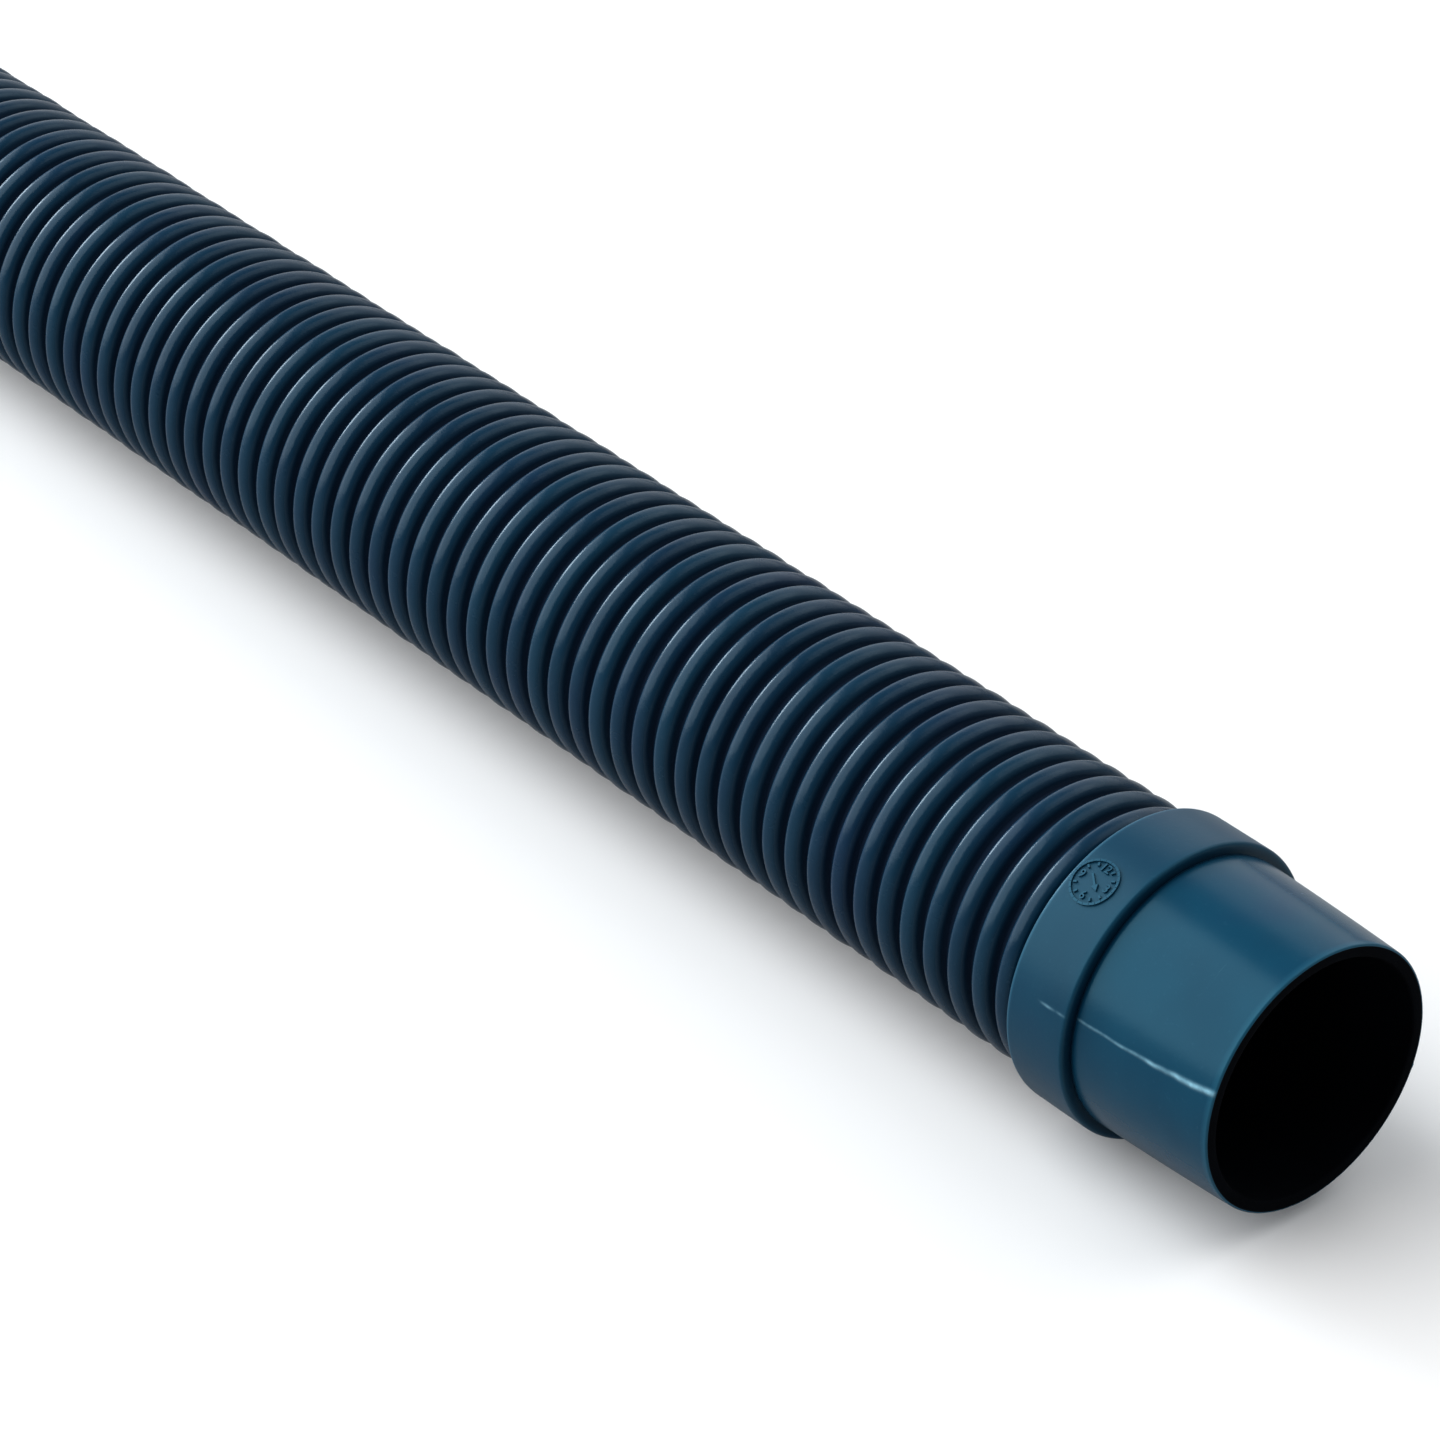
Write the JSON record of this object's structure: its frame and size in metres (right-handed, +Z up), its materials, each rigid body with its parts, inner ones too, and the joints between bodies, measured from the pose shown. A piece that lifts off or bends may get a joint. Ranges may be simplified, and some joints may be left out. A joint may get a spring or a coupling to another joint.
{
  "type": "pool vacuum hose section",
  "caption": "Corrugated pool and spa vacuum hose section that bends, with a tapered swivel spigot cuff at one end and a matching socket cuff at the other.",
  "frame": {"origin": "On the ground under the middle of the straight hose: the bottom centre of the bounding box.", "axes": "+X runs along the hose and out of the spigot cuff's mouth, +Z is up, +Y is sideways."},
  "size_m": [1.2, 0.0474, 0.0474],
  "materials": {
    "hose": "dark navy blue moulded polyethylene with a soft gloss, near black between the ribs",
    "cuff": "teal navy moulded plastic, glossy on the spigot and semi-gloss on the collar",
    "bush": "dark grey moulded plastic",
    "ring": "natural acetal",
    "seal": "black nitrile rubber"
  },
  "bodies": {
    "hose_1": {"hose_section_1": "hose", "near_bush": "bush", "hose_bend_1": "hose"},
    "near_cuff": {"near_cuff": "cuff", "near_seal": "seal", "near_retaining_ring": "ring"},
    "hose_2": {"hose_section_2": "hose", "hose_bend_2": "hose"},
    "hose_3": {"hose_section_3": "hose", "hose_bend_3": "hose"},
    "hose_4": {"hose_section_4": "hose", "hose_bend_4": "hose"},
    "hose_5": {"hose_section_5": "hose", "far_cuff": "cuff"}
  },
  "joints": [
    {"name": "near_cuff_swivel", "type": "hinge", "parent": "hose_1", "child": "near_cuff", "pos_m": [0.56645, 0, 0.0237], "axis": [1, 0, 0], "continuous": true},
    {"name": "bend_1", "type": "hinge", "parent": "hose_1", "child": "hose_2", "pos_m": [0.42175, 0, 0.0237], "axis": [0, 0, 1], "range_deg": [-40, 40], "stiffness_Nm_per_rad": 2, "deforming": ["hose_bend_1"]},
    {"name": "bend_2", "type": "hinge", "parent": "hose_2", "child": "hose_3", "pos_m": [0.14325, 0, 0.0237], "axis": [0, 1, 0], "range_deg": [-40, 40], "stiffness_Nm_per_rad": 2, "deforming": ["hose_bend_2"]},
    {"name": "bend_3", "type": "hinge", "parent": "hose_3", "child": "hose_4", "pos_m": [-0.13525, 0, 0.0237], "axis": [0, 0, 1], "range_deg": [-40, 40], "stiffness_Nm_per_rad": 2, "deforming": ["hose_bend_3"]},
    {"name": "bend_4", "type": "hinge", "parent": "hose_4", "child": "hose_5", "pos_m": [-0.41375, 0, 0.0237], "axis": [0, 1, 0], "range_deg": [-40, 40], "stiffness_Nm_per_rad": 2, "deforming": ["hose_bend_4"]}
  ]
}
